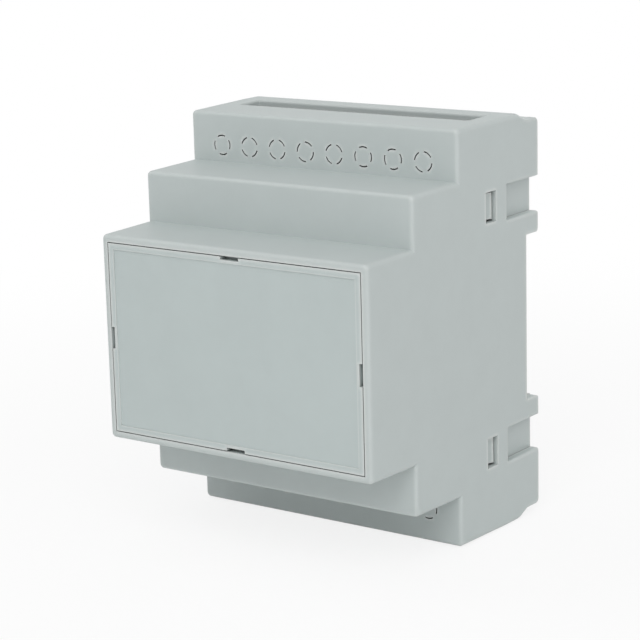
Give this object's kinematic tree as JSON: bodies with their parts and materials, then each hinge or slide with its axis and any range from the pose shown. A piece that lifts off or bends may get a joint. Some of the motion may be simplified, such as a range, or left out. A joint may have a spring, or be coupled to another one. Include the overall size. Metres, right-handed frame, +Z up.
{
  "type": "din rail enclosure",
  "caption": "Stepped light grey plastic housing for a circuit board, with wire slots, screw knockouts, a snap-in front panel and a sliding latch for a 35 mm rail.",
  "frame": {"origin": "middle of the face that seats on the front of the 35 mm rail", "axes": "+X along the rail, +Y from the front face towards the rail, +Z up, away from the latch"},
  "size_m": [0.071, 0.065, 0.0912],
  "materials": {
    "housing_plastic": "fine matt moulded ABS, light grey",
    "panel_plastic": "fine matt moulded ABS, light grey",
    "latch_plastic": "satin moulded plastic, light grey"
  },
  "bodies": {
    "housing": {"base": "housing_plastic", "cover": "housing_plastic"},
    "panel": {"front_panel": "panel_plastic"},
    "latch": {"rail_latch": "latch_plastic"}
  },
  "joints": [
    {"name": "latch_slide", "type": "slide", "parent": "housing", "child": "latch", "axis": [0, 0, -1], "range_m": [0, 0.0035]},
    {"name": "panel_lift_off", "type": "slide", "parent": "housing", "child": "panel", "axis": [0, -1, 0], "range_m": [0, 0.012]}
  ]
}
